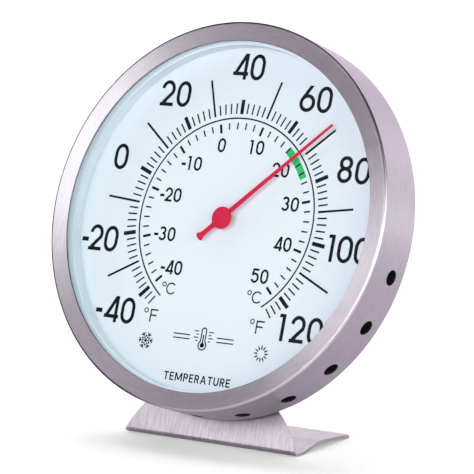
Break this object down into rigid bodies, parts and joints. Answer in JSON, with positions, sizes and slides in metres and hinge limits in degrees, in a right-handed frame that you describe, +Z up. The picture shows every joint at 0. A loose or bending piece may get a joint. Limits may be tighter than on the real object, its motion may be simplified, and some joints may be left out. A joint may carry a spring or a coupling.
{
  "type": "dial thermometer",
  "caption": "Round stainless steel dial thermometer with a bimetal movement, side vents and a red pointer, leaning back on a folded sheet steel foot.",
  "frame": {"origin": "on the table plane, at the middle of the flat under the foot's front bend, straight below the centre of the bezel's front plane", "axes": "+Z up, the dial looks along -Y and leans back by 19.3 degrees, +X is to the viewer's right"},
  "size_m": [0.15, 0.0718, 0.1583],
  "materials": {
    "case_steel": "circular brushed on the bezel, brushed along the side wall",
    "stand_steel": "brushed up and down the tab",
    "gasket_rubber": "pale translucent silicone",
    "window": "clear, polished",
    "white_plastic": "satin white",
    "dial_white": "smooth cool white coating with black and green print",
    "pointer_red": "satin red lacquer",
    "brass": "turned",
    "bimetal": "rolled strip, slightly brown",
    "plain_steel": "zinc plated or bright steel",
    "cover_black": "fine textured black moulding"
  },
  "bodies": {
    "housing": {"case_shell": "case_steel", "lens_gasket": "gasket_rubber", "lens": "window", "spacer_ring": "white_plastic", "dial_plate": "dial_white", "front_plate": "brass", "front_bush": "brass", "pillars": "brass", "bridge_strap": "plain_steel", "bridge_screws": "plain_steel", "strap_screws": "plain_steel", "friction_washer": "plain_steel", "rear_cover": "cover_black", "stand_inserts": "brass", "stand": "stand_steel", "stand_washers": "plain_steel", "stand_screws": "plain_steel"},
    "calibration_unit": {"calibration_carrier": "brass", "anchor_post": "brass", "bimetal_coil": "bimetal", "retaining_clip": "plain_steel"},
    "pointer_unit": {"pointer": "pointer_red", "pointer_bush": "brass", "arbor": "plain_steel", "coil_collet": "brass"}
  },
  "joints": [
    {"name": "calibration_trim", "type": "hinge", "parent": "housing", "child": "calibration_unit", "pos_m": [0, 0, 0.0878], "axis": [0, -0.9438, 0.3305], "range_deg": [-15, 15]},
    {"name": "pointer_sweep", "type": "hinge", "parent": "calibration_unit", "child": "pointer_unit", "pos_m": [0, 0, 0.0878], "axis": [0, -0.9438, 0.3305], "range_deg": [-94.67, 188.67], "deforming": ["bimetal_coil"]}
  ]
}
